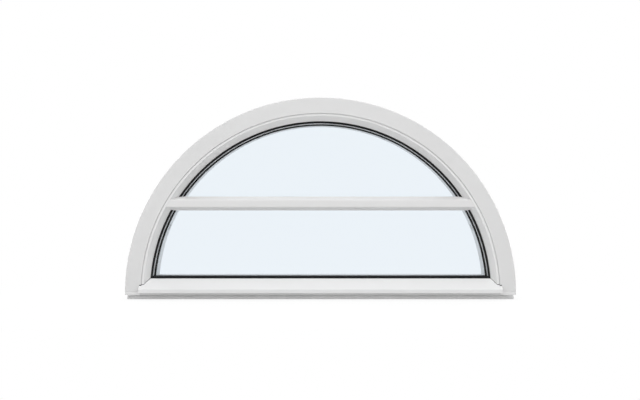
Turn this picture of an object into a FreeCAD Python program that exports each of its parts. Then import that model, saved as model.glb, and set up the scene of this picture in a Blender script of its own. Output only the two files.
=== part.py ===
import FreeCAD, Part
import math
import os
from FreeCAD import Vector

# Half-round fixed window of painted timber, double glazed from outside, with one glazing bar.
# X runs along the sill, Y from outside to inside, Z up from the underside of the base strip.
# Depths are measured inward from the outside face of the frame, heights from the underside of the rail.

# Timber frame
OUTER_RADIUS = 500.0
FOOT_HEIGHT = 5.5
JOINT_RISE = 3.5
FRAME_DEPTH = 105.0
FACE_WIDTH = 41.0
REVEAL_WIDTH = 68.0
ARCH_PIECES = 4
ARRIS = 2.5
SMALL_ARRIS = 1.2
RAIL_FRONT = 2.0
RAIL_FLOOR = 19.0
RAIL_TOP = 44.5

# Fixing holes, one through the inside part of each arch piece
HOLE_RADIUS = 4.5
HOLE_HEAD_RADIUS = 8.0
HOLE_HEAD_DEPTH = 12.0

# Base strip under the frame
BASE_HEIGHT = 14.0
BASE_SETBACK = 27.0
BASE_DEPTH = 68.0
BASE_WALL = 2.5
BASE_LIP_HEIGHT = 7.5
BASE_LIP_REACH = 4.0
BASE_CHAMBERS = 3

# Arched glazing bead
BEAD_RECESS = 2.0
BEAD_LAND = 5.5
BEAD_WIDTH = 19.0
BEAD_NOSE_DEPTH = 20.0
BEAD_NOSE = 2.0
QUIRK_WIDTH = 0.8
QUIRK_DEPTH = 2.0

# Sill bead, a hollow metal extrusion that hooks over the front of the bottom rail
SILL_NOSE_REACH = 10.0
SILL_NOSE_LOW = 5.3
SILL_NOSE_HIGH = 15.5
SILL_BEAD_TOP = 40.0
SILL_WALL = 2.0
SILL_CAP = 2.0
SILL_END_GAP = 0.6
SILL_LAP = 4.5

# Glass unit and its gaskets
GASKET = 3.0
GASKET_LIP = 5.5
SILL_GASKET_LIP = 7.0
GASKET_LIP_RISE = 1.6
GASKET_FOOT = 8.0
GASKET_ROUND = 2.4
PANE = 4.0
CAVITY = 16.0
GLASS_BITE = 16.5
SPACER_INSET = 20.5
SPACER_HEIGHT = 1.8
INNER_GASKET = 4.0
INNER_GASKET_HEIGHT = 11.0
INNER_GASKET_INSET = 0.6
BLOCK_LENGTH = 80.0
BLOCK_HEIGHT = 6.5
BLOCK_SPACING = 600.0

# Glazing bar: a piece outside, one inside, and a spacer bar in the cavity
BAR_HEIGHT = 233.5
BAR_FACE = 19.0
BAR_FOOT = 36.0
BAR_FOOT_EDGE = 2.5
BAR_ROUND = 3.0
BAR_CLEARANCE = 0.3
INNER_BAR_DEPTH = 18.0
CAVITY_BAR_WIDTH = 20.0
CAVITY_BAR_GAP = 1.0

# Levels and radii that follow from the sizes above
FEET_Z = BASE_HEIGHT
SPRING_Z = FEET_Z + FOOT_HEIGHT
JOINT_Z = SPRING_Z + JOINT_RISE
REBATE_RADIUS = OUTER_RADIUS - FACE_WIDTH
REVEAL_RADIUS = OUTER_RADIUS - REVEAL_WIDTH
BEAD_NOSE_RADIUS = REBATE_RADIUS - BEAD_WIDTH
LIP_RADIUS = BEAD_NOSE_RADIUS - GASKET_LIP
GLASS_RADIUS = LIP_RADIUS + GLASS_BITE
BEAD_BACK = BEAD_NOSE_DEPTH + BEAD_NOSE
OUTER_PANE_FRONT = BEAD_BACK + GASKET
CAVITY_FRONT = OUTER_PANE_FRONT + PANE
CAVITY_BACK = CAVITY_FRONT + CAVITY
INNER_PANE_BACK = CAVITY_BACK + PANE
REBATE_DEPTH = INNER_PANE_BACK + INNER_GASKET
FLOOR_Z = FEET_Z + RAIL_FLOOR
GLASS_Z = FLOOR_Z + BLOCK_HEIGHT
RAIL_TOP_Z = FEET_Z + RAIL_TOP
BEAD_TOP_Z = FEET_Z + SILL_BEAD_TOP
LIP_TOP_Z = BEAD_TOP_Z + SILL_GASKET_LIP
BAR_Z = FEET_Z + BAR_HEIGHT
SILL_SLOPE = (SILL_BEAD_TOP - SILL_NOSE_HIGH) / (BEAD_NOSE_DEPTH + SILL_NOSE_REACH)
PIECE_ANGLE = 180.0 / ARCH_PIECES
FACE_Y = (SILL_NOSE_REACH - FRAME_DEPTH) / 2

ARCH_AXIS = Vector(0, 0, SPRING_Z)


def eased_face(corners, place, rounded):
    """Face inside corners (u, v, ease): each arris is eased by a tangent arc, or by a flat."""
    count = len(corners)
    starts = []
    ends = []
    middles = []
    for i in range(count):
        u, v, ease = corners[i]
        here = Vector(u, v, 0)
        back = Vector(*corners[i - 1][:2], 0) - here
        ahead = Vector(*corners[(i + 1) % count][:2], 0) - here
        back.normalize()
        ahead.normalize()
        half = back.getAngle(ahead) / 2
        reach = ease / math.tan(half)
        bisector = back + ahead
        bisector.normalize()
        starts.append(here + back * reach)
        ends.append(here + ahead * reach)
        middles.append(here + bisector * (ease / math.sin(half) - ease))
    edges = []
    for i in range(count):
        if corners[i][2] > 0 and rounded:
            arc = Part.Arc(place(starts[i]), place(middles[i]), place(ends[i]))
            edges.append(arc.toShape())
        if corners[i][2] > 0 and not rounded:
            edges.append(Part.makeLine(place(starts[i]), place(ends[i])))
        following = (i + 1) % count
        edges.append(Part.makeLine(place(ends[i]), place(starts[following])))
    return Part.Face(Part.Wire(edges))


def in_section(p):
    """Section point (radius or height, depth) set in the upright plane at the foot of the arch."""
    return Vector(p.x, p.y, SPRING_Z)


def in_profile(p):
    """Profile point (depth, height) set in the plane across the sill."""
    return Vector(0, p.x, p.y)


def arch_piece(corners, start, sweep):
    """Section swept round the arch from the angle start, measured up from +X at the springing."""
    face = eased_face(corners, in_section, False)
    face.rotate(ARCH_AXIS, Vector(0, -1, 0), start)
    return face.revolve(ARCH_AXIS, Vector(0, -1, 0), sweep)


def leg(corners, side, low):
    """The same section carried straight down from the springing line to the height low."""
    face = eased_face(corners, in_section, False)
    if side < 0:
        face.rotate(ARCH_AXIS, Vector(0, -1, 0), 180)
    return face.extrude(Vector(0, 0, low - SPRING_Z))


def full_arch(corners, low):
    """Whole arch with both of its straight legs."""
    shape = arch_piece(corners, 0, 180)
    if low < SPRING_Z:
        shape = shape.fuse([leg(corners, 1, low), leg(corners, -1, low)])
    return shape.removeSplitter()


def bar_along_x(corners, half_length):
    """Profile (depth, height, radius) drawn out along the sill on both sides of the centre."""
    face = eased_face(corners, in_profile, True)
    face.translate(Vector(-half_length, 0, 0))
    return face.extrude(Vector(2 * half_length, 0, 0))


def arched_slab(radius, low, front, back):
    """Slab with a half-round head and a flat foot at the height low, between two depths."""
    rise = max(low - SPRING_Z, 0)
    half = math.sqrt(radius ** 2 - rise ** 2)
    shoulder = SPRING_Z + rise
    crown = Vector(0, front, SPRING_Z + radius)
    left = Vector(-half, front, shoulder)
    right = Vector(half, front, shoulder)
    edges = [Part.Arc(right, crown, left).toShape()]
    if low < SPRING_Z:
        foot_left = Vector(-half, front, low)
        foot_right = Vector(half, front, low)
        edges.append(Part.makeLine(left, foot_left))
        edges.append(Part.makeLine(foot_left, foot_right))
        edges.append(Part.makeLine(foot_right, right))
    else:
        edges.append(Part.makeLine(left, right))
    return Part.Face(Part.Wire(edges)).extrude(Vector(0, back - front, 0))


def arched_ring(outer_radius, outer_low, inner_radius, inner_low, front, back):
    """Closed loop between two arched outlines."""
    outer = arched_slab(outer_radius, outer_low, front, back)
    return outer.cut(arched_slab(inner_radius, inner_low, front, back))


def wall_half_width(radius, z):
    """Half the clear width inside an arch of this radius at the height z."""
    return math.sqrt(radius ** 2 - max(z - SPRING_Z, 0) ** 2)


def frame_section():
    """L section of the arch: a narrow face outside and a wider part inside that backs the glass."""
    return [
        (OUTER_RADIUS, 0, ARRIS),
        (OUTER_RADIUS, FRAME_DEPTH, ARRIS),
        (REVEAL_RADIUS, FRAME_DEPTH, ARRIS),
        (REVEAL_RADIUS, REBATE_DEPTH, 0),
        (REBATE_RADIUS, REBATE_DEPTH, 0),
        (REBATE_RADIUS, 0, SMALL_ARRIS),
    ]


def fixing_hole(angle):
    """Screw hole along a radius of the arch, with a wider seat for the head at the reveal."""
    depth = (REBATE_DEPTH + FRAME_DEPTH) / 2
    turn = math.radians(angle)
    outward = Vector(math.cos(turn), 0, math.sin(turn))
    inside = Vector(0, depth, SPRING_Z) + outward * (REVEAL_RADIUS - HOLE_HEAD_DEPTH)
    shank = Part.makeCylinder(HOLE_RADIUS, REVEAL_WIDTH + 2 * HOLE_HEAD_DEPTH, inside, outward)
    head = Part.makeCylinder(HOLE_HEAD_RADIUS, 2 * HOLE_HEAD_DEPTH, inside, outward)
    return shank.fuse(head)


def below_joint():
    """Room under the level joint between the feet of the arch and the rail."""
    return Part.makeBox(2 * OUTER_RADIUS, FRAME_DEPTH, JOINT_Z, Vector(-OUTER_RADIUS, 0, 0))


def frame_piece(index):
    """One glued length of the arch, counted from the right foot; the first and last stand on the rail."""
    start = index * PIECE_ANGLE
    piece = arch_piece(frame_section(), start, PIECE_ANGLE).cut(below_joint())
    return piece.cut(fixing_hole(start + PIECE_ANGLE / 2))


def rail_ends():
    """Both ends of the rail, under the feet of the arch and flush with it outside."""
    plan = [
        (OUTER_RADIUS, 0, ARRIS),
        (OUTER_RADIUS, FRAME_DEPTH, ARRIS),
        (REVEAL_RADIUS, FRAME_DEPTH, 0),
        (REVEAL_RADIUS, RAIL_FRONT, 0),
        (REBATE_RADIUS, RAIL_FRONT, 0),
        (REBATE_RADIUS, 0, SMALL_ARRIS),
    ]
    return full_arch(plan, FEET_Z).common(below_joint())


def bottom_rail():
    """Sill rail the full width: a floor that carries the glass, an upstand behind it, and two ends."""
    profile = [
        (RAIL_FRONT, FEET_Z, 0),
        (FRAME_DEPTH, FEET_Z, 0),
        (FRAME_DEPTH, RAIL_TOP_Z, ARRIS),
        (REBATE_DEPTH, RAIL_TOP_Z, SMALL_ARRIS),
        (REBATE_DEPTH, FLOOR_Z, 0),
        (RAIL_FRONT, FLOOR_Z, SMALL_ARRIS),
    ]
    rail = bar_along_x(profile, OUTER_RADIUS)
    front = arched_slab(REBATE_RADIUS, FEET_Z, 0, REBATE_DEPTH)
    back = arched_slab(REVEAL_RADIUS, FEET_Z, REBATE_DEPTH, FRAME_DEPTH)
    middle = rail.common(front.fuse(back))
    return middle.fuse(rail_ends()).removeSplitter()


def base_strip():
    """Hollow strip the full width of the frame, set back from its face, with a lip along the front."""
    front = BASE_SETBACK
    back = BASE_SETBACK + BASE_DEPTH
    step = front + BASE_LIP_REACH
    outline = [
        (front, 0, 0),
        (back, 0, 0),
        (back, BASE_HEIGHT, 0),
        (step, BASE_HEIGHT, 0),
        (step, BASE_LIP_HEIGHT, 0),
        (front, BASE_LIP_HEIGHT, SMALL_ARRIS),
    ]
    strip = bar_along_x(outline, OUTER_RADIUS)
    pitch = (back - step - BASE_WALL) / BASE_CHAMBERS
    for i in range(BASE_CHAMBERS):
        near = step + BASE_WALL + i * pitch
        far = near + pitch - BASE_WALL
        chamber = [
            (near, BASE_WALL, 0),
            (far, BASE_WALL, 0),
            (far, BASE_HEIGHT - BASE_WALL, 0),
            (near, BASE_HEIGHT - BASE_WALL, 0),
        ]
        strip = strip.cut(bar_along_x(chamber, OUTER_RADIUS))
    return strip


def sill_slope_z(depth):
    """Height of the sill bead's sloping top at a depth."""
    return FEET_Z + SILL_NOSE_HIGH + (depth + SILL_NOSE_REACH) * SILL_SLOPE


def sill_bead_half():
    """Half length of the sill bead, clear of the arch with a cap on each end."""
    return wall_half_width(REBATE_RADIUS, BEAD_TOP_Z) - SILL_END_GAP - SILL_CAP


def sill_bead_outline():
    """Outline of the sill bead: drip nose, sloping top, upright back and a foot on the rail."""
    drop = SILL_WALL * math.hypot(1, SILL_SLOPE)
    hook = SILL_WALL - SILL_NOSE_REACH
    return [
        (-SILL_NOSE_REACH, FEET_Z + SILL_NOSE_LOW, SILL_WALL / 4),
        (hook, FEET_Z + SILL_NOSE_LOW, SILL_WALL / 4),
        (hook, sill_slope_z(hook) - drop, 0),
        (RAIL_FRONT, sill_slope_z(RAIL_FRONT) - drop, 0),
        (RAIL_FRONT, FLOOR_Z, 0),
        (BEAD_BACK, FLOOR_Z, 0),
        (BEAD_BACK, BEAD_TOP_Z, SMALL_ARRIS / 2),
        (BEAD_NOSE_DEPTH, BEAD_TOP_Z, SMALL_ARRIS),
        (-SILL_NOSE_REACH, FEET_Z + SILL_NOSE_HIGH, ARRIS),
    ]


def sill_bead():
    """Extrusion with one chamber under the slope."""
    bead = bar_along_x(sill_bead_outline(), sill_bead_half())
    drop = SILL_WALL * math.hypot(1, SILL_SLOPE)
    near = RAIL_FRONT + SILL_WALL
    far = BEAD_BACK - SILL_WALL
    low = FLOOR_Z + SILL_WALL
    chamber = [
        (near, low, 0),
        (far, low, 0),
        (far, sill_slope_z(far) - drop, 0),
        (near, max(sill_slope_z(near) - drop, low + SILL_WALL), 0),
    ]
    return bead.cut(bar_along_x(chamber, sill_bead_half()))


def sill_cap(side):
    """Plate that closes one end of the sill bead, with a lug on its nose that laps over the frame."""
    half = sill_bead_half()
    face = eased_face(sill_bead_outline(), in_profile, True)
    face.translate(Vector(side * half, 0, 0))
    plate = face.extrude(Vector(side * SILL_CAP, 0, 0))
    nose = face.extrude(Vector(side * (REBATE_RADIUS + SILL_LAP - half), 0, 0))
    corner = Vector(-OUTER_RADIUS, -SILL_NOSE_REACH, 0)
    in_front = Part.makeBox(2 * OUTER_RADIUS, SILL_NOSE_REACH, BEAD_TOP_Z, corner)
    return plate.fuse(nose.common(in_front)).removeSplitter()


def arch_bead():
    """Bead round the arch: a quirk beside the frame, a flat land, a bevel, and feet scribed to the sill."""
    outer = REBATE_RADIUS - QUIRK_WIDTH
    section = [
        (REBATE_RADIUS, BEAD_BACK, 0),
        (REBATE_RADIUS, BEAD_RECESS + QUIRK_DEPTH, 0),
        (outer, BEAD_RECESS + QUIRK_DEPTH, 0),
        (outer, BEAD_RECESS, SMALL_ARRIS),
        (outer - BEAD_LAND, BEAD_RECESS, 0),
        (BEAD_NOSE_RADIUS, BEAD_NOSE_DEPTH, 0),
        (BEAD_NOSE_RADIUS, BEAD_BACK, 0),
    ]
    bead = full_arch(section, FEET_Z)
    below = [
        (-SILL_NOSE_REACH, 0, 0),
        (BEAD_BACK, 0, 0),
        (BEAD_BACK, BEAD_TOP_Z, 0),
        (BEAD_NOSE_DEPTH, BEAD_TOP_Z, 0),
        (-SILL_NOSE_REACH, FEET_Z + SILL_NOSE_HIGH, 0),
    ]
    return bead.cut(bar_along_x(below, OUTER_RADIUS))


def gasket_section(edge, way, reach):
    """Gasket between bead and glass; its lip stands way past the bead's edge with a rounded front."""
    foot = edge - way * GASKET_FOOT
    lip = edge + way * reach
    front = BEAD_BACK - GASKET_LIP_RISE
    return [
        (foot, BEAD_BACK),
        (edge, BEAD_BACK),
        (edge, front),
        (lip, front),
        (lip, OUTER_PANE_FRONT),
        (foot, OUTER_PANE_FRONT),
    ]


def outer_gasket_sill():
    """Straight gasket along the sill bead, ended against the arched bead."""
    section = gasket_section(BEAD_TOP_Z, 1, SILL_GASKET_LIP)
    rounds = [0, 0, 0, GASKET_ROUND, 0, 0]
    profile = [(d, z, r) for (z, d), r in zip(section, rounds)]
    gasket = bar_along_x(profile, OUTER_RADIUS)
    lip_room = arched_slab(BEAD_NOSE_RADIUS, FLOOR_Z, 0, BEAD_BACK)
    foot_room = arched_slab(GLASS_RADIUS, FLOOR_Z, BEAD_BACK, OUTER_PANE_FRONT)
    return gasket.common(lip_room.fuse(foot_room)).removeSplitter()


def outer_gasket_arch():
    """Gasket round the arched bead, standing on the straight one."""
    section = gasket_section(BEAD_NOSE_RADIUS, -1, GASKET_LIP)
    rounds = [0, 0, 0, GASKET_ROUND, 0, 0]
    corners = [(r, d, e) for (r, d), e in zip(section, rounds)]
    gasket = full_arch(corners, FEET_Z)
    below = Part.makeBox(2 * OUTER_RADIUS, FRAME_DEPTH, LIP_TOP_Z, Vector(-OUTER_RADIUS, 0, 0))
    return gasket.cut(below)


def glass(front):
    """One pane, flat at the foot."""
    return arched_slab(GLASS_RADIUS, GLASS_Z, front, front + PANE)


def spacer():
    """Slim spacer that runs all round between the panes."""
    inset = SPACER_INSET - SPACER_HEIGHT
    return arched_ring(
        GLASS_RADIUS - inset, GLASS_Z + inset,
        GLASS_RADIUS - SPACER_INSET, GLASS_Z + SPACER_INSET,
        CAVITY_FRONT, CAVITY_BACK,
    )


def edge_seal():
    """Sealant that fills the edge of the unit outside the spacer."""
    inset = SPACER_INSET - SPACER_HEIGHT
    return arched_ring(
        GLASS_RADIUS, GLASS_Z,
        GLASS_RADIUS - inset, GLASS_Z + inset,
        CAVITY_FRONT, CAVITY_BACK,
    )


def inner_gasket():
    """Flat gasket between the inner pane and the frame."""
    edge = REVEAL_RADIUS + INNER_GASKET_INSET
    low = RAIL_TOP_Z - INNER_GASKET_INSET
    return arched_ring(
        edge + INNER_GASKET_HEIGHT, low - INNER_GASKET_HEIGHT,
        edge, low,
        INNER_PANE_BACK, REBATE_DEPTH,
    )


def setting_blocks():
    """Two hard blocks on the rail that carry the glass unit."""
    thickness = INNER_PANE_BACK - OUTER_PANE_FRONT
    blocks = []
    for side in (-1, 1):
        corner = Vector(side * BLOCK_SPACING / 2 - BLOCK_LENGTH / 2, OUTER_PANE_FRONT, FLOOR_Z)
        blocks.append(Part.makeBox(BLOCK_LENGTH, thickness, BLOCK_HEIGHT, corner))
    return Part.makeCompound(blocks)


def bar_profile(front, back, rounding):
    """Bevelled bar from its narrow face at the depth front to its foot on the glass at back."""
    way = math.copysign(1, back - front)
    shoulder = back - way * BAR_FOOT_EDGE
    face = BAR_FACE / 2
    foot = BAR_FOOT / 2
    return [
        (front, BAR_Z - face, rounding),
        (front, BAR_Z + face, rounding),
        (shoulder, BAR_Z + foot, SMALL_ARRIS / 2),
        (back, BAR_Z + foot, 0),
        (back, BAR_Z - foot, 0),
        (shoulder, BAR_Z - foot, SMALL_ARRIS / 2),
    ]


def outer_bar():
    """Bar on the outer pane, its ends coped over the bevel of the arched bead and the gasket lip."""
    bar = bar_along_x(bar_profile(BEAD_RECESS, OUTER_PANE_FRONT, BAR_ROUND), OUTER_RADIUS)
    land_edge = REBATE_RADIUS - QUIRK_WIDTH - BEAD_LAND - BAR_CLEARANCE
    nose = BEAD_NOSE_RADIUS - BAR_CLEARANCE
    lip_front = BEAD_BACK - GASKET_LIP_RISE - BAR_CLEARANCE
    lip = LIP_RADIUS - BAR_CLEARANCE
    room = [
        (0, BEAD_RECESS, 0),
        (land_edge, BEAD_RECESS, 0),
        (nose, BEAD_NOSE_DEPTH, 0),
        (nose, lip_front, 0),
        (lip, lip_front, 0),
        (lip, OUTER_PANE_FRONT, 0),
        (0, OUTER_PANE_FRONT, 0),
    ]
    return bar.common(arch_piece(room, 0, 180))


def cavity_bar():
    """Flat bar between the panes, held by the spacer at both ends."""
    front = CAVITY_FRONT + CAVITY_BAR_GAP
    back = CAVITY_BACK - CAVITY_BAR_GAP
    half = CAVITY_BAR_WIDTH / 2
    profile = [
        (front, BAR_Z - half, CAVITY_BAR_GAP),
        (back, BAR_Z - half, CAVITY_BAR_GAP),
        (back, BAR_Z + half, CAVITY_BAR_GAP),
        (front, BAR_Z + half, CAVITY_BAR_GAP),
    ]
    bar = bar_along_x(profile, OUTER_RADIUS)
    return bar.common(arched_slab(GLASS_RADIUS - SPACER_INSET, GLASS_Z, CAVITY_FRONT, CAVITY_BACK))


def inner_bar():
    """Bar on the inner pane, its ends scribed to the reveal of the arch."""
    front = INNER_PANE_BACK + INNER_BAR_DEPTH
    bar = bar_along_x(bar_profile(front, INNER_PANE_BACK, BAR_ROUND), OUTER_RADIUS)
    return bar.common(arched_slab(REVEAL_RADIUS - BAR_CLEARANCE, FEET_Z, INNER_PANE_BACK, front))


def save(name, shape):
    """Moves a piece so that the middle of the whole depth lies on the origin, and writes it."""
    placed = shape.copy()
    placed.translate(Vector(0, FACE_Y, 0))
    placed.exportStep("parts/" + name + ".step")


os.makedirs("parts", exist_ok=True)

for number in range(ARCH_PIECES):
    save("arch_piece_" + str(number + 1), frame_piece(number))
save("bottom_rail", bottom_rail())
save("base_strip", base_strip())
save("arch_bead", arch_bead())
save("sill_bead", sill_bead())
save("sill_cap_left", sill_cap(-1))
save("sill_cap_right", sill_cap(1))
save("outer_gasket_arch", outer_gasket_arch())
save("outer_gasket_sill", outer_gasket_sill())
save("outer_pane", glass(OUTER_PANE_FRONT))
save("spacer", spacer())
save("edge_seal", edge_seal())
save("inner_pane", glass(CAVITY_BACK))
save("inner_gasket", inner_gasket())
save("setting_blocks", setting_blocks())
save("outer_bar", outer_bar())
save("cavity_bar", cavity_bar())
save("inner_bar", inner_bar())
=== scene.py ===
import math
import bmesh
import bpy
import numpy as np
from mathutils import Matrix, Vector


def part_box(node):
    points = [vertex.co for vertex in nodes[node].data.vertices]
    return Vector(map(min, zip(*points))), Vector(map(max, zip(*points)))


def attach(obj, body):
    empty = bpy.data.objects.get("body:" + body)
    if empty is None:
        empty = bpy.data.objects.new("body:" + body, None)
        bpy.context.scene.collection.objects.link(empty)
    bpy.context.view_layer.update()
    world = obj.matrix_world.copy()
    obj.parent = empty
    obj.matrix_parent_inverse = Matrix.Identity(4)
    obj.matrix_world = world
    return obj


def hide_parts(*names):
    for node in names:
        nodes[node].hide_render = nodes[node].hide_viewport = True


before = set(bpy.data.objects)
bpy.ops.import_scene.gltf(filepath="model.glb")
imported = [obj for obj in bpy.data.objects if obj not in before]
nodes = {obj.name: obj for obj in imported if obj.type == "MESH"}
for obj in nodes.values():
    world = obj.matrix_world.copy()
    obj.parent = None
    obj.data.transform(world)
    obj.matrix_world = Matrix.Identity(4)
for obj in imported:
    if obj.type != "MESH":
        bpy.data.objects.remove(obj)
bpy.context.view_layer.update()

# Half-round fixed window of painted timber, double glazed, with one glazing bar.
# X runs along the sill, Y from outside to inside, Z up. Lengths are in metres.
MM = 0.001

# Timber frame
FACE_WIDTH = 41 * MM
REVEAL_WIDTH = 68 * MM
JOINT_RISE = 3.5 * MM
FOOT_JOINT = 0.3 * MM
RAIL_FRONT = 2 * MM

# Screw holes through the frame
HOLE_R = 4.5 * MM
HEAD_R = 8 * MM
HEAD_DEPTH = 12 * MM
HEAD_CHAMFER = 0.6 * MM

# Arched glazing bead
BEAD_RECESS = 2 * MM
BEAD_LAND = 5.5 * MM
BEAD_WIDTH = 19 * MM
BEAD_NOSE_DEPTH = 20 * MM
BEAD_DEPTH = 22 * MM
QUIRK_WIDTH = 0.8 * MM
QUIRK_DEPTH = 1.4 * MM

# Dark bedding under the feet of the bead and over the lugs of the sill's end caps. Its dark is
# partly the sealant's own colour and partly painted shade that stands for the shadow in the open
# joint.
BED_JOINT = 1.6 * MM
LUG = 4.2 * MM
FILLET_UP = 2.5 * MM
FILLET_OUT = 0.8 * MM
FILLET_ROUND = 0.1 * MM

# Sill bead
SILL_NOSE_LOW = 5.3 * MM
SILL_NOSE_HIGH = 15.5 * MM
SILL_WALL = 2 * MM

# Glass unit and its gaskets
GASKET_LIP = 5.5 * MM
GASKET_LIP_RISE = 1.6 * MM
GASKET_FOOT = 8 * MM
BULB_SHORT = 0.2 * MM
BULB_CUT = 0.8 * MM
GLASS_BITE = 16.5 * MM
BLOCK_HEIGHT = 6.5 * MM
SEALANT_INSET = (0, 17.7 * MM)
SPACER_INSET = (17.8 * MM, 20.7 * MM)
ROOM_GASKET = 4 * MM
ROOM_GASKET_BITE = 11.6 * MM
ROOM_GASKET_INSET = (0, 11 * MM)

# Glazing bar
BAR_FACE_HALF = 9.5 * MM
BAR_EDGE = 2.5 * MM
BAR_CLEARANCE = 0.3 * MM

# Meshes: points on a rounded corner and beside it, columns along a piece, the block of cells left
# out over a screw hole, and the film of air that keeps neighbours apart
ROUND = 7
LOOP_ROUND = 4
EASED = ROUND + 2
HOLD = 0.4 * MM
ARCH_COLUMNS = 181
SILL_COLUMNS = 13
ARC_CELLS = 96
PATCH = 17 * MM
PATCH_CELLS = 10
FILM = 0.06 * MM
HAIR = 0.5 * MM
SHARP_ANGLE = math.radians(33)
EIGHTH = math.pi / 4

# Levels and radii, read from the solids
FOOT_LOW, FOOT_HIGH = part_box("arch_piece_1")
CROWN_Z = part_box("arch_piece_2")[1].z
PANE_LOW, PANE_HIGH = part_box("outer_pane")
INNER_LOW, INNER_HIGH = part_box("inner_pane")
RAIL_LOW, RAIL_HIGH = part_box("bottom_rail")
SILL_LOW, SILL_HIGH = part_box("sill_bead")
LIP_TOP_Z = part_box("outer_gasket_sill")[1].z
BAR_LOW, BAR_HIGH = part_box("outer_bar")
ROOM_BAR_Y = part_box("inner_bar")[1].y
OUTER_R = FOOT_HIGH.x
FEET_Z = RAIL_LOW.z
SPRING_Z = CROWN_Z - OUTER_R
FACE_Y = FOOT_LOW.y
BACK_Y = FOOT_HIGH.y
PANE_Y = PANE_LOW.y
CAVITY_Y = PANE_HIGH.y
CAVITY_END_Y = INNER_LOW.y
ROOM_PANE_Y = INNER_HIGH.y
RAIL_TOP_Z = RAIL_HIGH.z
NOSE_Y = SILL_LOW.y
SILL_TOP_Z = SILL_HIGH.z
SILL_HALF = SILL_HIGH.x
BAR_Z = (BAR_LOW.z + BAR_HIGH.z) / 2
BAR_FOOT_HALF = (BAR_HIGH.z - BAR_LOW.z) / 2

# Levels and radii that follow from the sizes above
JOINT_Z = SPRING_Z + JOINT_RISE
REBATE_R = OUTER_R - FACE_WIDTH
REVEAL_R = OUTER_R - REVEAL_WIDTH
SEAT_R = REVEAL_R + HEAD_DEPTH
REBATE_Y = ROOM_PANE_Y + ROOM_GASKET
HOLE_Y = (REBATE_Y + BACK_Y) / 2
BEAD_NOSE_R = REBATE_R - BEAD_WIDTH
BEAD_OUTER_R = REBATE_R - QUIRK_WIDTH
BEAD_LAND_R = BEAD_OUTER_R - BEAD_LAND
BEAD_LAND_Y = FACE_Y + BEAD_RECESS
BEAD_NOSE_Y = FACE_Y + BEAD_NOSE_DEPTH
BEAD_BACK_Y = FACE_Y + BEAD_DEPTH
QUIRK_Y = BEAD_LAND_Y + QUIRK_DEPTH
LIP_R = BEAD_NOSE_R - GASKET_LIP
LIP_Y = BEAD_BACK_Y - GASKET_LIP_RISE
BULB_R = LIP_R + BULB_SHORT
GLASS_R = LIP_R + GLASS_BITE
GLASS_Z = PANE_LOW.z
FLOOR_Z = GLASS_Z - BLOCK_HEIGHT
RAIL_Y = FACE_Y + RAIL_FRONT
NOSE_LOW_Z = FEET_Z + SILL_NOSE_LOW
NOSE_HIGH_Z = FEET_Z + SILL_NOSE_HIGH
SILL_SLOPE = (SILL_TOP_Z - NOSE_HIGH_Z) / (BEAD_NOSE_Y - NOSE_Y)

# Section of the arch (radius, depth)
ARCH_CORNERS = [
    (OUTER_R, FACE_Y), (OUTER_R, BACK_Y), (REVEAL_R, BACK_Y),
    (REVEAL_R, REBATE_Y), (REBATE_R, REBATE_Y), (REBATE_R, FACE_Y),
]

# Section of the arched bead (radius, depth)
BEAD_CORNERS = [
    (REBATE_R, BEAD_BACK_Y), (REBATE_R, QUIRK_Y), (BEAD_OUTER_R, QUIRK_Y),
    (BEAD_OUTER_R, BEAD_LAND_Y), (BEAD_LAND_R, BEAD_LAND_Y),
    (BEAD_NOSE_R, BEAD_NOSE_Y), (BEAD_NOSE_R, BEAD_BACK_Y),
]

# Rings of a screw hole: distance from its axis, radius of the level it lies on, depth sunk below
# that level, and 1 where the level is round or 0 where it is flat
HOLE_RINGS = np.array([
    (HEAD_R + HEAD_CHAMFER, REVEAL_R, 0, 1),
    (HEAD_R, REVEAL_R, HEAD_CHAMFER, 1),
    (HEAD_R, SEAT_R, 0, 0),
    (HOLE_R, SEAT_R, 0, 0),
    (HOLE_R, OUTER_R, 0, 1),
])


# Outlines


def eased(corners, radii, steps=ROUND):
    """Closed outline with every corner rounded.

    Each arc is tangent to both sides: its centre lies on the bisector at radius / sin(half angle),
    and its points turn evenly from the first tangent direction to the last. One more point on the
    side before and after each arc keeps the flats flat.
    """
    corner = np.asarray(corners, float)
    radius = np.broadcast_to(np.asarray(radii, float), len(corner))[:, None]
    ahead = np.roll(corner, -1, axis=0) - corner
    side = np.linalg.norm(ahead, axis=1, keepdims=True)
    ahead /= side
    back = -np.roll(ahead, 1, axis=0)
    half = np.arccos(np.clip((back * ahead).sum(1), -1, 1))[:, None] / 2
    reach = radius / np.tan(half)
    bisector = back + ahead
    bisector /= np.linalg.norm(bisector, axis=1, keepdims=True)
    centre = corner + bisector * radius / np.sin(half)
    first = (corner + back * reach - centre) / radius
    last = (corner + ahead * reach - centre) / radius
    turn = np.pi - 2 * half
    share = np.linspace(0, 1, steps)
    near = (np.sin((1 - share) * turn) / np.sin(turn))[:, :, None] * first[:, None]
    far = (np.sin(share * turn) / np.sin(turn))[:, :, None] * last[:, None]
    arc = centre[:, None] + radius[:, None] * (near + far)
    hold = np.minimum(HOLD, (side - reach - np.roll(reach, -1, axis=0)) / 3)
    before = corner + back * (reach + np.roll(hold, 1, axis=0))
    after = corner + ahead * (reach + hold)
    return np.concatenate([before[:, None], arc, after[:, None]], axis=1).reshape(-1, 2)


def divided(outline, longest):
    """The same closed outline with even extra points, so that no side is longer than longest."""
    ahead = np.roll(outline, -1, axis=0) - outline
    count = np.maximum(np.ceil(np.linalg.norm(ahead, axis=1) / longest), 1).astype(int)
    step = np.arange(count.sum()) - np.repeat(np.cumsum(count) - count, count)
    share = step / np.repeat(count, count)
    return np.repeat(outline, count, axis=0) + share[:, None] * np.repeat(ahead, count, axis=0)


def inside_arch(radius, z):
    """Half width inside an arch of this radius at the height z: sqrt(radius^2 - rise^2)."""
    return np.sqrt(radius ** 2 - np.maximum(z - SPRING_Z, 0) ** 2)


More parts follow.
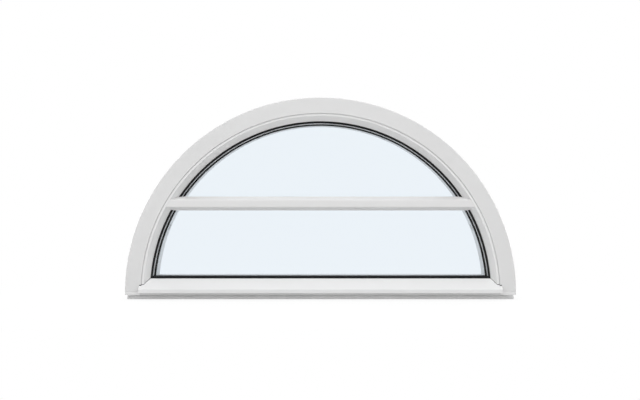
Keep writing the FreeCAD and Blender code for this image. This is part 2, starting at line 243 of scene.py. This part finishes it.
def foot_angle(radius, z):
    """Angle at which a circle of this radius reaches the height z: arcsin(rise / radius)."""
    return np.arcsin(np.clip((z - SPRING_Z) / radius, -1, 1))


def sill_slope_z(depth):
    """Height of the sill's sloping top: the nose's height plus slope * depth past the nose."""
    return NOSE_HIGH_Z + (depth - NOSE_Y) * SILL_SLOPE


# Meshes


def grid_quads(index, closed=False):
    """Quads between neighbouring rows of a table of point numbers whose rows close on themselves.

    With closed, the last row also meets the first.
    """
    here = index if closed else index[:-1]
    above = np.roll(index, -1, axis=0) if closed else index[1:]
    return np.stack([here, np.roll(here, -1, 1), np.roll(above, -1, 1), above], -1).reshape(-1, 4)


def rim(block):
    """Point numbers round the edge of a block of a table, in order."""
    return np.concatenate([block[0, :-1], block[:-1, -1], block[-1, :0:-1], block[:0:-1, 0]])


def put_piece(name, points, quads, caps, grain, finish, replaced):
    """Mesh from whole arrays: the quads, each closed end split into triangles, and the grain."""
    loops = np.concatenate([quads.ravel(), *caps]).astype(np.int32)
    totals = np.concatenate([np.full(len(quads), 4), [len(cap) for cap in caps]]).astype(int)
    mesh = bpy.data.meshes.new(name)
    mesh.vertices.add(len(points))
    mesh.vertices.foreach_set("co", points.astype(np.float32).ravel())
    mesh.loops.add(len(loops))
    mesh.loops.foreach_set("vertex_index", loops)
    mesh.polygons.add(len(totals))
    mesh.polygons.foreach_set("loop_start", (np.cumsum(totals) - totals).astype(np.int32))
    mesh.update(calc_edges=True)
    shell = bmesh.new()
    shell.from_mesh(mesh)
    bmesh.ops.recalc_face_normals(shell, faces=shell.faces)
    shell.faces.ensure_lookup_table()
    ends = shell.faces[len(quads):]
    bmesh.ops.triangulate(shell, faces=ends, quad_method="BEAUTY", ngon_method="BEAUTY")
    shell.to_mesh(mesh)
    shell.free()
    mesh.polygons.foreach_set("use_smooth", np.ones(len(mesh.polygons), bool))
    mesh.set_sharp_from_angle(angle=SHARP_ANGLE)
    mesh.attributes.new("grain", "FLOAT_VECTOR", "POINT").data.foreach_set(
        "vector", grain.astype(np.float32).ravel()
    )
    mesh.materials.append(finish)
    piece = bpy.data.objects.new(name, mesh)
    bpy.context.scene.collection.objects.link(piece)
    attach(piece, "root")
    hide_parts(*replaced)


def put_shells(name, shells, finish, replaced):
    """Piece of separate shells, each a table of points that is closed on its first and last row."""
    sizes = [shell[..., 0].size for shell in shells]
    starts = np.cumsum(sizes) - sizes
    tables = [
        start + np.arange(size).reshape(shell.shape[:2])
        for start, size, shell in zip(starts, sizes, shells)
    ]
    points = np.concatenate([shell.reshape(-1, 3) for shell in shells])
    quads = np.concatenate([grid_quads(table) for table in tables])
    caps = [table[end] for table in tables for end in (0, -1)]
    put_piece(name, points, quads, caps, points, finish, replaced)


def put_swept(name, made, around, finish, replaced):
    """Piece from swept points: sides between the sections and a face on each end."""
    points, grain = made
    index = np.arange(len(points)).reshape(-1, around)
    caps = [index[0], index[-1]]
    put_piece(name, points, grid_quads(index), caps, grain, finish, replaced)


def round_arch(section, low):
    """Points of a section carried round the arch, and their grain, which follows the curve.

    A point at (radius, depth) stands at the angle low + share * (pi - 2 * low), where low is its
    own foot angle, so the feet are scribed to whatever they stand on.
    """
    radius, depth = section.T
    angle = low + np.linspace(0, 1, ARCH_COLUMNS)[:, None] * (np.pi - 2 * low)
    radius, depth = np.broadcast_to(radius, angle.shape), np.broadcast_to(depth, angle.shape)
    points = np.stack([radius * np.cos(angle), depth, SPRING_Z + radius * np.sin(angle)], -1)
    grain = np.stack([angle * OUTER_R, radius, depth], -1)
    return points.reshape(-1, 3), grain.reshape(-1, 3)


def along_sill(profile, half_length):
    """Points of a profile (depth, height) drawn out along X to each point's own half length.

    A point's X is share * half_length, with the share even from -1 to 1. The points are the grain.
    """
    depth, height = profile.T
    x = np.linspace(-1, 1, SILL_COLUMNS)[:, None] * half_length
    points = np.stack([x, np.broadcast_to(depth, x.shape), np.broadcast_to(height, x.shape)], -1)
    return points.reshape(-1, 3), points.reshape(-1, 3)


# Timber pieces


def frame_length(number):
    """One glued length of the arch with its screw hole.

    The L section is swept round the arch, from the level joint on the rail at its feet. Over the
    hole a square block of cells on the reveal and on the outer face is left out, and rings run
    between the two square rims: the seat's chamfer and wall, its floor, and the shank. A ring point
    at distance q from the axis has the offsets s = q cos f along the arc and t = q sin f in depth,
    and lies at sqrt(R^2 - s^2) on a round level.
    """
    rounds = eased(ARCH_CORNERS, np.array([2.5, 2.5, 2.5, 0.4, 0.4, 0.45]) * MM)
    rounds = rounds.reshape(len(ARCH_CORNERS), EASED, 2)
    strip = HOLE_Y + PATCH * np.linspace(-1, 1, PATCH_CELLS + 1)
    outer_strip = np.stack([np.full_like(strip, OUTER_R), strip], -1)
    reveal_strip = np.stack([np.full_like(strip, REVEAL_R), strip[::-1]], -1)
    section = np.concatenate(
        [rounds[0], outer_strip, rounds[1], rounds[2], reveal_strip, *rounds[3:]]
    )
    radius, depth = section.T
    foot = foot_angle(radius, JOINT_Z + FOOT_JOINT)
    first = np.maximum((number - 1) * EIGHTH, foot)
    last = np.minimum(number * EIGHTH, math.pi - foot)
    turn = first + np.linspace(0, 1, ARC_CELLS + 1)[:, None] * (last - first)
    skin = np.stack(
        [radius * np.cos(turn), depth + 0 * turn, SPRING_Z + radius * np.sin(turn)], -1
    )
    points = skin.reshape(-1, 3)
    index = np.arange(len(points)).reshape(turn.shape)

    rows = slice((ARC_CELLS - PATCH_CELLS) // 2, (ARC_CELLS + PATCH_CELLS) // 2 + 1)
    cells = slice(rows.start, rows.stop - 1)
    reveal_start = 3 * EASED + PATCH_CELLS + 1
    outer_rim = rim(index[rows, EASED:EASED + PATCH_CELLS + 1][:, ::-1])
    reveal_rim = rim(index[rows, reveal_start:reveal_start + PATCH_CELLS + 1])
    quads = grid_quads(index).reshape(index.shape[0] - 1, index.shape[1], 4)
    keep = np.ones(quads.shape[:2], bool)
    keep[cells, EASED:EASED + PATCH_CELLS] = False
    keep[cells, reveal_start:reveal_start + PATCH_CELLS] = False

    axis = (number - 0.5) * EIGHTH
    radial = np.array([math.cos(axis), 0, math.sin(axis)])
    tangent = np.array([-math.sin(axis), 0, math.cos(axis)])
    inward = np.array([0.0, 1.0, 0.0])
    centre = np.array([0, HOLE_Y, SPRING_Z])
    offset = points[reveal_rim] - centre
    around = np.arctan2(offset @ inward, offset @ tangent)
    reach, level, sunk, on_round = HOLE_RINGS.T[:, :, None]
    s, t = reach * np.cos(around), reach * np.sin(around)
    height = np.sqrt(level ** 2 - on_round * s ** 2) + sunk
    rings = centre + s[..., None] * tangent + t[..., None] * inward + height[..., None] * radial
    ring_index = len(points) + np.arange(s.size).reshape(s.shape)
    hole = np.concatenate([[reveal_rim], ring_index, [outer_rim]])

    points = np.concatenate([points, rings.reshape(-1, 3)])
    from_axis = points - centre
    grain = np.stack([from_axis @ tangent + number, from_axis @ radial, points[:, 1]], -1)
    put_piece(
        "arch_length_%d" % number, points, np.concatenate([quads[keep], grid_quads(hole)]),
        [index[0], index[-1]], grain, FRAME_PAINT, ["arch_piece_%d" % number],
    )


def bead_section():
    """Section of the arched bead: rounded corners, and no side longer than 4 mm."""
    rounds = eased(BEAD_CORNERS, np.array([0.2, 0.2, 0.2, 0.8, 1.0, 0.5, 0.2]) * MM)
    return divided(rounds, longest=4 * MM)


def arched_bead():
    """Bead round the arch: quirk, land and bevel, its feet scribed to the sill a joint above it."""
    section = bead_section()
    radius, depth = section.T
    slope_z = sill_slope_z(np.minimum(depth, BEAD_NOSE_Y))
    made = round_arch(section, foot_angle(radius, slope_z + BED_JOINT))
    put_swept(
        "arched_glazing_bead", made, len(section), BEAD_PAINT, ["arch_bead"]
    )


def bead_bedding_and_shade():
    """Dark bedding under both feet of the arched bead, run on over the lugs of the sill's end caps.
    Its dark is partly the sealant's own colour and partly painted shade for the open joint.

    The bead's section fills the open joint: each point runs from the angle where its circle meets
    the sill's slope to the angle where it meets the bead's foot. Over the lug a small fillet lies
    in the corner between the slope and the frame's face. The left foot mirrors the right.
    """
    radius, depth = bead_section().T
    lift = np.array([FILM, BED_JOINT - FILM])[:, None]
    level = sill_slope_z(np.minimum(depth, BEAD_NOSE_Y)) + lift
    turn = foot_angle(radius, level)
    pad = np.stack([radius * np.cos(turn), depth + 0 * turn, level], -1)
    face_y = FACE_Y - FILM
    corner_z = sill_slope_z(face_y) + FILM
    corners = [
        (face_y, corner_z), (face_y, corner_z + FILLET_UP),
        (face_y - FILLET_OUT, corner_z - FILLET_OUT * SILL_SLOPE),
    ]
    fillet_y, fillet_z = eased(corners, FILLET_ROUND).T
    x = np.array([inside_arch(REBATE_R, corner_z), REBATE_R + LUG])[:, None] + 0 * fillet_y
    fillet = np.stack([x, fillet_y + 0 * x, fillet_z + 0 * x], -1)
    shells = [shell * [side, 1, 1] for shell in (pad, fillet) for side in (1, -1)]
    put_shells("bead_bedding_and_shade", shells, BEDDING_AND_SHADE, [])


def bar_profile(face_y, pane_y):
    """Bar section (depth, height): a narrow face with round arrises, bevels, and a short upright
    edge on the glass. No side is longer than 1.5 mm.
    """
    way = np.sign(pane_y - face_y)
    shoulder, foot = pane_y - way * BAR_EDGE, pane_y - way * FILM
    corners = [
        (face_y, BAR_Z - BAR_FACE_HALF), (face_y, BAR_Z + BAR_FACE_HALF),
        (shoulder, BAR_Z + BAR_FOOT_HALF), (foot, BAR_Z + BAR_FOOT_HALF),
        (foot, BAR_Z - BAR_FOOT_HALF), (shoulder, BAR_Z - BAR_FOOT_HALF),
    ]
    rounds = eased(corners, np.array([3, 3, 0.6, 0.2, 0.2, 0.6]) * MM)
    return divided(rounds, longest=1.5 * MM)


def outside_bar():
    """Bar on the outer pane; each point runs out to the cope over the bead's bevel and the lip.

    The bevel's radius falls evenly with depth from the bead's land to its nose.
    """
    profile = bar_profile(BEAD_LAND_Y, PANE_Y)
    depth, height = profile.T
    past_land = depth - BEAD_LAND_Y
    bevel = BEAD_LAND_R + past_land * (BEAD_NOSE_R - BEAD_LAND_R) / (BEAD_NOSE_Y - BEAD_LAND_Y)
    before_lip = depth < LIP_Y - BAR_CLEARANCE
    room = np.where(before_lip, np.maximum(bevel, BEAD_NOSE_R), LIP_R) - BAR_CLEARANCE
    made = along_sill(profile, inside_arch(room, height))
    put_swept("outside_bar", made, len(profile), BAR_PAINT, ["outer_bar"])


def room_bar():
    """Bar on the inner pane, scribed to the reveal of the arch."""
    profile = bar_profile(ROOM_BAR_Y, ROOM_PANE_Y)
    made = along_sill(profile, inside_arch(REVEAL_R - BAR_CLEARANCE, profile[:, 1]))
    put_swept("room_side_bar", made, len(profile), BAR_PAINT, ["inner_bar"])


def sill_rail():
    """Bottom rail, wide in front of the rebate and narrower behind it, and the blocks on its ends.

    Each block is the plan of the arch's section carried up to the foot of the arch: a point at the
    height z stands at inside_arch(its own radius, z).
    """
    corners = [
        (RAIL_Y, FEET_Z), (BACK_Y, FEET_Z), (BACK_Y, RAIL_TOP_Z),
        (REBATE_Y, RAIL_TOP_Z), (REBATE_Y, FLOOR_Z), (RAIL_Y, FLOOR_Z),
    ]
    rounds = eased(corners, np.array([0.4, 0.4, 2.5, 1.2, 0.4, 1.2]) * MM)
    profile = divided(rounds, longest=3 * MM)
    depth, height = profile.T
    reach = np.where(depth < REBATE_Y - HAIR, REBATE_R, REVEAL_R)
    middle = along_sill(profile, inside_arch(reach, height))[0].reshape(-1, len(profile), 3)
    radius, y = eased(ARCH_CORNERS, np.array([2.5, 2.5, 0.2, 0.2, 0.2, 1.2]) * MM).T
    level = np.array([FEET_Z, SPRING_Z, JOINT_Z])[:, None] + 0 * radius
    x, y = inside_arch(radius, level), np.broadcast_to(y, level.shape)
    ends = [np.stack([side * x, y, level], -1) for side in (1, -1)]
    put_shells("sill_rail", [middle, *ends], BAR_PAINT, ["bottom_rail"])


# Metal and rubber


def sill_cover():
    """Sloping sill bead with a drip nose and a hook behind it, drawn out between its end caps."""
    drop = SILL_WALL * math.hypot(1, SILL_SLOPE)
    hook = NOSE_Y + SILL_WALL
    hook_z = sill_slope_z(hook) - drop
    rail_z = sill_slope_z(RAIL_Y) - drop
    corners = [
        (NOSE_Y, NOSE_LOW_Z), (hook, NOSE_LOW_Z), (hook, hook_z), (RAIL_Y, rail_z),
        (RAIL_Y, FLOOR_Z), (BEAD_BACK_Y, FLOOR_Z), (BEAD_BACK_Y, SILL_TOP_Z),
        (BEAD_NOSE_Y, SILL_TOP_Z), (NOSE_Y, NOSE_HIGH_Z),
    ]
    profile = eased(corners, np.array([0.5, 0.5, 0.3, 0.3, 0.3, 0.3, 0.6, 1.2, 2.5]) * MM)
    made = along_sill(profile, np.full(len(profile), SILL_HALF))
    put_swept("sill_cover", made, len(profile), SILL_COATING, ["sill_bead"])


def lip_outline(edge, lip):
    """Gasket section (across, depth): a foot under the bead and a bulb past the bead's edge, which
    is cut back at the glass.
    """
    way = np.sign(lip - edge)
    foot = edge - way * GASKET_FOOT
    glass_y = PANE_Y - FILM
    corners = [
        (foot, BEAD_BACK_Y + FILM), (edge, BEAD_BACK_Y + FILM), (edge, LIP_Y), (lip, LIP_Y),
        (lip, glass_y - BULB_CUT), (lip - way * BULB_CUT, glass_y), (foot, glass_y),
    ]
    return eased(corners, np.array([0.3, 0.2, 0.2, 2.2, 0.3, 0.3, 0.3]) * MM)


def arched_gasket():
    """Gasket round the arch, standing on the straight one at the height of its lip."""
    section = lip_outline(BEAD_NOSE_R, BULB_R)
    made = round_arch(section, foot_angle(section[:, 0], LIP_TOP_Z))
    put_swept(
        "arched_gasket", made, len(section), GASKET_RUBBER, ["outer_gasket_arch"]
    )


def sill_gasket():
    """Straight gasket on the sill bead; its bulb ends at the arched bead, its foot at the glass."""
    section = lip_outline(SILL_TOP_Z, LIP_TOP_Z)
    height, depth = section.T
    reach = np.where(depth < BEAD_BACK_Y, BEAD_NOSE_R, GLASS_R)
    made = along_sill(section[:, ::-1], inside_arch(reach, height))
    put_swept(
        "sill_gasket", made, len(section), GASKET_RUBBER, ["outer_gasket_sill"]
    )


def arched_loop(name, edge, inset, sides, easing, finish, replaced):
    """Closed loop of a rectangle inset from an arched edge (radius, foot height).

    A point inset by u runs round the arch at the radius less u, from the angle where that circle
    meets the foot height plus u, and closes along the straight foot.
    """
    edge_r, edge_z = edge
    near, far = inset
    front, back = sides
    corners = [(near, front + FILM), (near, back - FILM), (far, back - FILM), (far, front + FILM)]
    across, depth = eased(corners, easing, LOOP_ROUND).T
    radius = edge_r - across
    section = np.stack([radius, depth], -1)
    points, grain = round_arch(section, foot_angle(radius, edge_z + across))
    index = np.arange(len(points)).reshape(-1, len(section))
    put_piece(name, points, grid_quads(index, closed=True), [], grain, finish, replaced)


# Finishes


def plug(node, **inputs):
    """Set or link a node's inputs. In a name _ stands for a space, and _0 is input number 0."""
    for key, value in inputs.items():
        number = key[1:]
        socket = node.inputs[int(number) if number.isdigit() else key.replace("_", " ")]
        if isinstance(value, bpy.types.NodeSocket):
            node.id_data.links.new(value, socket)
        else:
            socket.default_value = value


def node_maker(tree):
    """Function that adds a node of a kind to the tree, with its settings and its inputs."""
    def make(kind, settings=(), **inputs):
        """One new node."""
        node = tree.nodes.new(kind)
        for key, value in settings:
            setattr(node, key, value)
        plug(node, **inputs)
        return node

    return make


def larger(make, first, second):
    """The larger of two values."""
    return make("ShaderNodeMath", [("operation", "MAXIMUM")], _0=first, _1=second).outputs[0]


def new_finish(name):
    """New finish, its main shader and the maker of its nodes."""
    finish = bpy.data.materials.new(name)
    finish.use_nodes = True
    return finish, finish.node_tree.nodes["Principled BSDF"], node_maker(finish.node_tree)


def show(finish, mix):
    """Make a mixed shader the finish's surface."""
    plug(finish.node_tree.nodes["Material Output"], Surface=mix.outputs[0])


def along_grain(make):
    """The piece's own coordinates: along its length, across it, and in depth."""
    return make("ShaderNodeAttribute", [("attribute_name", "grain")]).outputs["Vector"]


def in_place(make):
    """Object coordinates."""
    return make("ShaderNodeTexCoord").outputs["Object"]


def mottle(shader, make, place, tone, spread, scale, stretch, rough):
    """Colour and roughness that wander together, in blotches drawn out along the first axis.

    The colour stays within a share of the tone on either side, the roughness between two values.
    """
    drawn = make("ShaderNodeMapping", Vector=place, Scale=(stretch, 1.0, 1.0))
    noise = make(
        "ShaderNodeTexNoise", Vector=drawn.outputs[0], Scale=scale, Detail=4.0, Roughness=0.55
    )
    blotch = noise.outputs["Fac"]
    ramp = make("ShaderNodeValToRGB", Fac=blotch)
    dark, light = ramp.color_ramp.elements
    dark.position, light.position = 0.3, 0.7
    dark.color = (*[c * (1 - spread) for c in tone], 1)
    light.color = (*[min(c * (1 + spread), 1) for c in tone], 1)
    gloss = make("ShaderNodeMapRange", Value=blotch, To_Min=rough[0], To_Max=rough[1])
    plug(shader, Base_Color=ramp.outputs["Color"], Roughness=gloss.outputs[0])


def sprayed_timber(name, tone):
    """Sprayed satin paint on planed timber: the grain shows faintly, under a fine peel."""
    finish, shader, make = new_finish(name)
    place = along_grain(make)
    mottle(shader, make, place, tone, spread=0.012, scale=14.0, stretch=0.2, rough=(0.36, 0.46))
    fibres = make("ShaderNodeMapping", Vector=place, Scale=(0.02, 1.0, 1.0))
    grain = make("ShaderNodeTexNoise", Vector=fibres.outputs[0], Scale=520.0, Detail=3.0)
    peel = make("ShaderNodeTexNoise", Vector=place, Scale=900.0, Detail=2.0)
    under = make("ShaderNodeBump", Strength=0.12, Distance=0.0004, Height=grain.outputs["Fac"])
    top = make(
        "ShaderNodeBump", Strength=0.06, Distance=0.0003, Height=peel.outputs["Fac"],
        Normal=under.outputs[0],
    )
    plug(shader, Normal=top.outputs[0])
    return finish


def powder_coat(name, tone):
    """Baked powder coat on drawn metal: even colour, close pebbled skin."""
    finish, shader, make = new_finish(name)
    place = along_grain(make)
    mottle(shader, make, place, tone, spread=0.008, scale=14.0, stretch=0.3, rough=(0.3, 0.38))
    pebble = make("ShaderNodeTexVoronoi", Vector=place, Scale=700.0).outputs["Distance"]
    skin = make("ShaderNodeBump", Strength=0.06, Distance=0.0002, Height=pebble)
    plug(shader, Normal=skin.outputs[0])
    return finish


def drawn_plastic(name, tone, rough):
    """Moulded or extruded plastic with fine lines along its length."""
    finish, shader, make = new_finish(name)
    place = in_place(make)
    rough_range = (rough - 0.05, rough + 0.08)
    mottle(shader, make, place, tone, spread=0.03, scale=30.0, stretch=0.1, rough=rough_range)
    drawn = make("ShaderNodeMapping", Vector=place, Scale=(0.02, 1.0, 1.0))
    lines = make("ShaderNodeTexNoise", Vector=drawn.outputs[0], Scale=1500.0, Detail=2.0)
    skin = make("ShaderNodeBump", Strength=0.1, Distance=0.0002, Height=lines.outputs["Fac"])
    plug(shader, Normal=skin.outputs[0])
    return finish


def rubber(name, tone, rough, spread, shine):
    """Extruded rubber or gunned sealant: streaked along its run, finely speckled."""
    finish, shader, make = new_finish(name)
    place = along_grain(make)
    rough_range = (rough - 0.06, rough + 0.1)
    mottle(shader, make, place, tone, spread=spread, scale=40.0, stretch=0.1, rough=rough_range)
    speck = make("ShaderNodeTexNoise", Vector=place, Scale=2500.0, Detail=1.0)
    skin = make("ShaderNodeBump", Strength=0.1, Distance=0.0002, Height=speck.outputs["Fac"])
    plug(shader, Normal=skin.outputs[0], Specular_IOR_Level=shine)
    return finish


def float_glass(name, tint):
    """Clear float glass with a cold tint and the slightest roll; lamps and soft light pass it."""
    finish, shader, make = new_finish(name)
    roll = make("ShaderNodeTexNoise", Vector=in_place(make), Scale=4.0, Detail=0.0)
    wave = make("ShaderNodeBump", Strength=0.02, Distance=0.0005, Height=roll.outputs["Fac"])
    plug(
        shader, Base_Color=(*tint, 1), Roughness=0.0, IOR=1.5, Specular_Tint=(0.2, 0.2, 0.2, 1),
        Transmission_Weight=1.0, Normal=wave.outputs[0],
    )
    path = make("ShaderNodeLightPath").outputs
    passing = larger(make, path["Is Shadow Ray"], path["Is Diffuse Ray"])
    clear = make("ShaderNodeBsdfTransparent", Color=(0.99, 0.993, 0.996, 1))
    show(finish, make("ShaderNodeMixShader", _0=passing, _1=shader.outputs[0], _2=clear.outputs[0]))
    return finish


# The frame, bead and bar are one white paint. Their three tones differ only so that each piece
# comes out at its own level under these lamps. This is painted light: the bead and the bar are
# painted lighter than the frame.
FRAME_PAINT = sprayed_timber("frame_paint", (0.66, 0.66, 0.66))
BEAD_PAINT = sprayed_timber("bead_paint", (0.735, 0.735, 0.735))
BAR_PAINT = sprayed_timber("bar_paint", (0.69, 0.69, 0.69))
SILL_COATING = powder_coat("sill_coating", (0.737, 0.74, 0.743))
CAP_PLASTIC = drawn_plastic("cap_plastic", (0.73, 0.73, 0.73), rough=0.45)
BASE_PLASTIC = drawn_plastic("base_plastic", (0.88, 0.88, 0.88), rough=0.55)
BLOCK_PLASTIC = drawn_plastic("block_plastic", (0.06, 0.06, 0.06), rough=0.5)
CAVITY_PLASTIC = drawn_plastic("cavity_plastic", (0.02, 0.02, 0.02), rough=0.5)
SPACER_BLACK = rubber("spacer_black", (0.012, 0.012, 0.012), rough=0.6, spread=0.2, shine=0.0)
GASKET_RUBBER = rubber("gasket_rubber", (0.011, 0.011, 0.012), rough=0.55, spread=0.25, shine=0.1)
# Bedding dark partly as sealant and partly as painted shade of the open joint under the bead's feet
BEDDING_AND_SHADE = rubber("bead_bedding_and_shade", (0.05, 0.05, 0.05), rough=0.6, spread=0.1, shine=0.1)
EDGE_SEALANT = rubber("edge_sealant", (0.92, 0.92, 0.92), rough=0.6, spread=0.05, shine=0.2)
GLASS = float_glass("window_glass", (0.914, 0.945, 0.971))

KEPT_SOLIDS = {
    "base_strip": BASE_PLASTIC,
    "sill_cap_left": CAP_PLASTIC,
    "sill_cap_right": CAP_PLASTIC,
    "outer_pane": GLASS,
    "inner_pane": GLASS,
    "cavity_bar": CAVITY_PLASTIC,
    "setting_blocks": BLOCK_PLASTIC,
}
for node_name, kept_finish in KEPT_SOLIDS.items():
    slots = nodes[node_name].data.materials
    slots.clear()
    slots.append(kept_finish)

for length_number in (1, 2, 3, 4):
    frame_length(length_number)
arched_bead()
bead_bedding_and_shade()
outside_bar()
room_bar()
sill_rail()
sill_cover()
arched_gasket()
sill_gasket()
arched_loop(
    "edge_sealant", (GLASS_R, GLASS_Z), SEALANT_INSET, (CAVITY_Y, CAVITY_END_Y), 0.2 * MM,
    EDGE_SEALANT, ["edge_seal"],
)
arched_loop(
    "pane_spacer", (GLASS_R, GLASS_Z), SPACER_INSET, (CAVITY_Y, CAVITY_END_Y), 0.4 * MM,
    SPACER_BLACK, ["spacer"],
)
arched_loop(
    "room_gasket", (REVEAL_R + ROOM_GASKET_BITE, RAIL_TOP_Z - ROOM_GASKET_BITE), ROOM_GASKET_INSET,
    (ROOM_PANE_Y, REBATE_Y), 0.8 * MM, GASKET_RUBBER, ["inner_gasket"],
)


# Studio: a white surround, a pale floor, two panels overhead, and one at each side, front and back


def seen(make):
    """1 for rays that show the surround: straight to the camera, mirrored, or through glass."""
    path = make("ShaderNodeLightPath").outputs
    mirrored = larger(make, path["Is Camera Ray"], path["Is Glossy Ray"])
    return larger(make, mirrored, path["Is Transmission Ray"])


def white_surround(ambient):
    """World that shows white and lights the window softly from all round."""
    world = bpy.data.worlds.new("studio")
    bpy.context.scene.world = world
    world.use_nodes = True
    make = node_maker(world.node_tree)
    strength = make("ShaderNodeMapRange", Value=seen(make), To_Min=ambient, To_Max=1.0)
    background = world.node_tree.nodes["Background"]
    plug(background, Color=(1, 1, 1, 1), Strength=strength.outputs[0])


def studio_floor(bounce, shown):
    """Pale floor that keeps the shadow near the window and runs out to plain white further off."""
    half = 6.0
    mesh = bpy.data.meshes.new("floor")
    corners = half * np.array([[-1, -1, 0], [1, -1, 0], [1, 1, 0], [-1, 1, 0]])
    mesh.from_pydata(corners.tolist(), [], [(0, 1, 2, 3)])
    floor = bpy.data.objects.new("floor", mesh)
    bpy.context.scene.collection.objects.link(floor)
    finish, shader, make = new_finish("floor_white")
    look = seen(make)
    tone = make("ShaderNodeMapRange", Value=look, To_Min=bounce, To_Max=shown)
    plug(shader, Base_Color=tone.outputs[0], Roughness=0.9, Specular_IOR_Level=0.0)
    spread = make("ShaderNodeMapping", Vector=in_place(make), Scale=(0.55, 1.0, 1.0))
    away = make("ShaderNodeVectorMath", [("operation", "LENGTH")], _0=spread.outputs[0])
    fade = make(
        "ShaderNodeMapRange", [("interpolation_type", "SMOOTHSTEP")],
        Value=away.outputs["Value"], From_Min=0.25, From_Max=0.62, To_Min=0.9,
    )
    share = make("ShaderNodeMath", [("operation", "MULTIPLY")], _0=fade.outputs[0], _1=look)
    glow = make("ShaderNodeEmission").outputs[0]
    show(finish, make("ShaderNodeMixShader", _0=share.outputs[0], _1=shader.outputs[0], _2=glow))
    mesh.materials.append(finish)


def panel_light(name, place, size, power):
    """Soft square panel aimed at the window."""
    lamp = bpy.data.lights.new(name, "AREA")
    lamp.shape = "SQUARE"
    lamp.size = size
    lamp.energy = power
    panel = bpy.data.objects.new(name, lamp)
    panel.location = place
    panel.rotation_mode = "QUATERNION"
    panel.rotation_quaternion = (AIM - Vector(place)).to_track_quat("-Z", "Y")
    bpy.context.scene.collection.objects.link(panel)


# Panels: name, place and size in metres, power in watts
AIM = Vector((0.0, 0.0, 0.2))
PANELS = [
    ("overhead_panel", (0.0, -0.4, 3.0), 2.0, 32),
    ("high_front_panel", (0.0, -1.5, 2.6), 1.6, 35),
    ("left_front_panel", (-2.0, -2.5, 0.45), 0.8, 14),
    ("right_front_panel", (2.0, -2.5, 0.45), 0.8, 14),
    ("left_back_panel", (-1.7, 1.6, 0.5), 1.2, 27),
    ("right_back_panel", (1.7, 1.6, 0.5), 1.2, 27),
]

white_surround(ambient=0.3)
studio_floor(bounce=0.76, shown=0.95)
for panel_row in PANELS:
    panel_light(*panel_row)

# Camera: square on to the outside, level, 2.1 m from the face. The half width of 0.5 m spans
# 195.7 pixels of a picture 640 wide, and the lens stands some pixels left of and above the feet.
CAMERA_DISTANCE = 2.1
PIXEL = 0.5 / 195.7
PICTURE_WIDTH = 640
LENS_LEFT = -0.5
LENS_UP = 94.9
SENSOR_WIDTH = 36.0
camera_data = bpy.data.cameras.new("camera")
camera_data.sensor_width = SENSOR_WIDTH
camera_data.lens = SENSOR_WIDTH * CAMERA_DISTANCE / (PICTURE_WIDTH * PIXEL)
camera = bpy.data.objects.new("camera", camera_data)
camera.location = (LENS_LEFT * PIXEL, FACE_Y - CAMERA_DISTANCE, FEET_Z + LENS_UP * PIXEL)
camera.rotation_euler = (math.pi / 2, 0, 0)
bpy.context.scene.collection.objects.link(camera)
bpy.context.scene.camera = camera
bpy.context.scene.view_settings.view_transform = "Standard"
